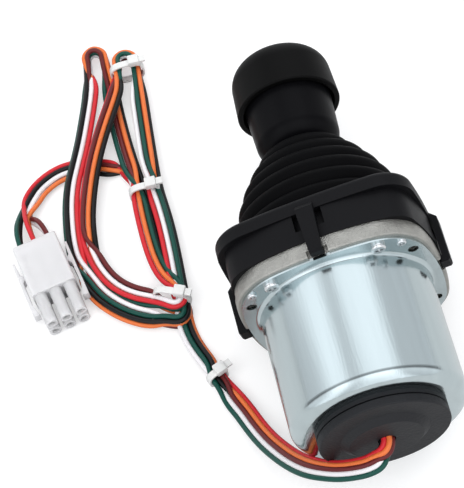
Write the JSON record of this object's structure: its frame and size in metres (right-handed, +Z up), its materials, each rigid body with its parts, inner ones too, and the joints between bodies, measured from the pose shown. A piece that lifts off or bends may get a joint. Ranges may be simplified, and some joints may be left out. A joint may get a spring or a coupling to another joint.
{
  "type": "industrial joystick",
  "caption": "Two-axis hand joystick with a lift-to-unlock knob on a rubber boot, a snap-hook bezel and a steel can, with a folded wire harness and plug.",
  "frame": {"origin": "under the middle of the joystick's bounding box, harness and plug left out, on the surface that it lies on", "axes": "+Y along the lever from the can towards the knob, +Z up from the table, +X to the side away from the harness; the joystick lies on one snap hook and a corner of its bezel, so its own square is turned about +Y by the roll angle"},
  "size_m": [0.1783, 0.2584, 0.0891],
  "materials": {
    "drawn_steel": "satin plated sheet",
    "screw_steel": "bright plated",
    "cast_metal": "as cast, fine grain",
    "bezel_plastic": "satin moulded",
    "boot_rubber": "matt",
    "grommet_rubber": "matt",
    "knob_plastic": "fine grain",
    "brass": "turned",
    "shaft_steel": "ground",
    "spring_steel": "drawn wire",
    "sensor_plastic": "moulded",
    "board_laminate": "coated laminate",
    "nylon": "translucent natural",
    "wire_insulation": "soft coloured insulation",
    "tie_plastic": "moulded natural nylon"
  },
  "bodies": {
    "housing": {"can": "drawn_steel", "mounting_frame": "cast_metal", "bezel": "bezel_plastic", "bellows_boot": "boot_rubber", "cable_grommet": "grommet_rubber", "can_screws": "screw_steel", "frame_screws": "screw_steel", "frame_bushes": "brass", "fore_aft_sensor": "sensor_plastic", "side_sensor": "sensor_plastic", "fore_aft_spring": "spring_steel", "side_spring": "spring_steel", "lock_plate": "shaft_steel", "chassis_posts": "shaft_steel", "board_spacers": "sensor_plastic", "circuit_board": "board_laminate", "board_header": "nylon", "board_screws": "screw_steel", "inner_leads": "wire_insulation", "harness_lead": "wire_insulation", "harness_hank": "wire_insulation", "harness_tail": "wire_insulation", "cable_ties": "tie_plastic", "connector_housing": "nylon", "connector_contacts": "brass"},
    "gimbal": {"gimbal_ring": "cast_metal", "gimbal_ring_pins": "shaft_steel", "ring_bushes": "brass"},
    "lever": {"lever_shaft": "shaft_steel", "pivot_hub": "shaft_steel", "pivot_hub_pins": "shaft_steel", "knob_cap": "knob_plastic", "knob_insert": "brass", "lock_ring_spring": "spring_steel"},
    "lock": {"lock_ring": "knob_plastic", "lock_pin": "shaft_steel", "lock_rod": "shaft_steel"},
    "bail": {"sensor_bail": "shaft_steel", "bail_pins": "shaft_steel"}
  },
  "joints": [
    {"name": "tilt_fore_aft", "type": "hinge", "parent": "housing", "child": "gimbal", "pos_m": [0, -0.0378, 0.04456], "axis": [0.986, 0, 0.1667], "range_deg": [-18, 18], "stiffness_Nm_per_rad": 3.5, "deforming": ["bellows_boot"]},
    {"name": "tilt_side", "type": "hinge", "parent": "gimbal", "child": "lever", "pos_m": [0, -0.0378, 0.04456], "axis": [0.1667, 0, -0.986], "range_deg": [-18, 18], "stiffness_Nm_per_rad": 3.5, "deforming": ["bellows_boot"]},
    {"name": "lock_lift", "type": "slide", "parent": "lever", "child": "lock", "axis": [0, 1, 0], "range_m": [0, 0.006], "stiffness_N_per_m": 600, "springref_m": -0.008, "deforming": ["lock_ring_spring"]},
    {"name": "bail_turn", "type": "hinge", "parent": "housing", "child": "bail", "pos_m": [0, -0.0378, 0.04456], "axis": [0.1667, 0, -0.986], "range_deg": [-18, 18]}
  ],
  "couplings": [
    {"joint": "bail_turn", "follows": "tilt_side", "ratio": 1}
  ]
}
